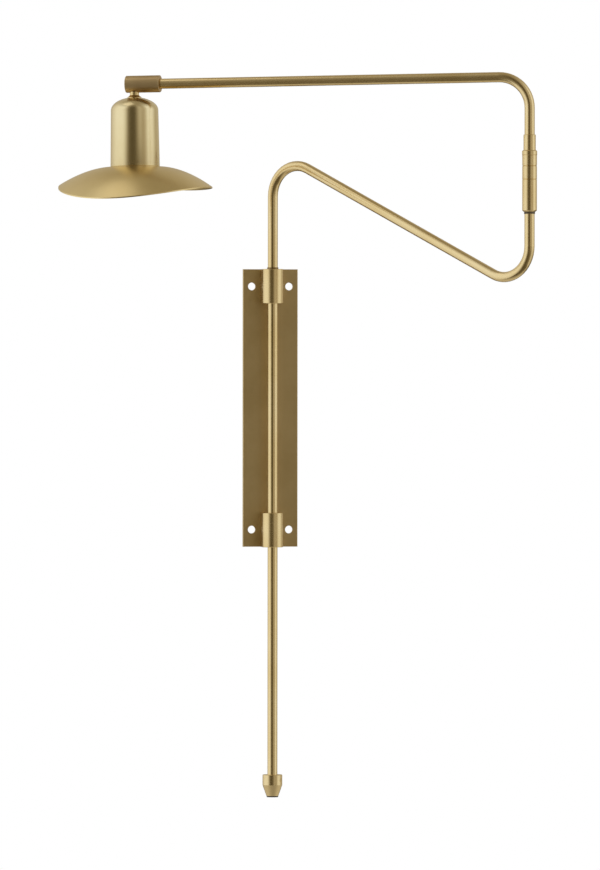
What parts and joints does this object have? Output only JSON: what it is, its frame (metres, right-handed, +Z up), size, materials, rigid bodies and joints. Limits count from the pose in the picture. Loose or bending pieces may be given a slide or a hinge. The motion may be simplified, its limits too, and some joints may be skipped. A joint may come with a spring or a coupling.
{
  "type": "articulating wall lamp",
  "caption": "Brass wall lamp: flat back plate, bent tube that slides and swings in two brackets, elbow, second arm, knuckle, socket cup and bent dish shade.",
  "frame": {"origin": "centre of the back plate's back face, where it lies on the wall", "axes": "+Z up along the main tube, +Y into the wall, so the room is towards -Y"},
  "size_m": [0.4538, 0.2468, 0.7175],
  "materials": {
    "plate_brass": "satin, darker olive brass with slight mottling",
    "bracket_brass": "satin brass",
    "tube_brass": "brushed brass, drawn along the tube",
    "turned_brass": "turned satin brass",
    "knuckle_brass": "darker turned brass",
    "cup_brass": "satin spun brass",
    "shade_brass": "satin brass sheet",
    "shell_brass": "bright pressed brass",
    "bush_bronze": "dark bronze",
    "screw_steel": "plain steel",
    "grommet_rubber": "black rubber",
    "dark_washer": "black nylon",
    "holder_black": "black thermoset",
    "lead_sheath": "pale cable sheath"
  },
  "bodies": {
    "wall_bracket": {"backplate": "plate_brass", "upper_bracket": "bracket_brass", "lower_bracket": "bracket_brass", "bracket_screws": "screw_steel"},
    "grip_bushes": {"upper_bush": "bush_bronze", "lower_bush": "bush_bronze"},
    "lower_arm": {"lower_tube": "tube_brass", "lower_lead": "lead_sheath", "tail_ferrule": "turned_brass", "tail_grommet": "grommet_rubber", "ferrule_grub_screw": "screw_steel", "elbow_socket": "turned_brass", "elbow_seal": "dark_washer", "elbow_stop_key": "screw_steel", "elbow_bearing_ring": "turned_brass", "elbow_bush": "bush_bronze"},
    "upper_arm": {"elbow_washer": "bush_bronze", "elbow_cap": "turned_brass", "elbow_band": "turned_brass", "elbow_collar": "turned_brass", "elbow_spindle": "screw_steel", "elbow_spring_washer": "screw_steel", "elbow_circlip": "screw_steel", "elbow_stop_pin": "screw_steel", "upper_tube": "tube_brass", "upper_lead": "lead_sheath", "arm_end_nut": "turned_brass", "knuckle_spring_washer": "screw_steel"},
    "knuckle": {"knuckle_barrel": "knuckle_brass", "knuckle_end_cap": "knuckle_brass"},
    "head": {"neck_stem": "turned_brass", "stem_washer": "screw_steel", "stem_nut": "screw_steel", "cup_locknut": "screw_steel", "head_lead": "lead_sheath", "socket_cup": "cup_brass", "lampholder_base": "holder_black", "lampholder_skirt": "holder_black", "lampholder_shell": "shell_brass", "lampholder_contact": "shell_brass", "shade_dish": "shade_brass", "shade_ring": "holder_black"}
  },
  "joints": [
    {"name": "arm_swing", "type": "hinge", "parent": "wall_bracket", "child": "grip_bushes", "pos_m": [0, -0.023, 0], "axis": [0, 0, 1], "range_deg": [-132, 40]},
    {"name": "arm_height", "type": "slide", "parent": "grip_bushes", "child": "lower_arm", "axis": [0, 0, 1], "range_m": [-0.068, 0.222]},
    {"name": "elbow_swing", "type": "hinge", "parent": "lower_arm", "child": "upper_arm", "pos_m": [0.22407, -0.23939, 0.235], "axis": [0, 0, 1], "range_deg": [-11.5, 307]},
    {"name": "head_tilt", "type": "hinge", "parent": "upper_arm", "child": "knuckle", "pos_m": [-0.14731, -0.09831, 0.31974], "axis": [-0.9348, 0.3551, -0.0105], "range_deg": [-75, 75]},
    {"name": "head_turn", "type": "hinge", "parent": "knuckle", "child": "head", "pos_m": [-0.14731, -0.09831, 0.31974], "axis": [-0.0098, 0.0037, 0.9999], "range_deg": [-170, 170]}
  ]
}
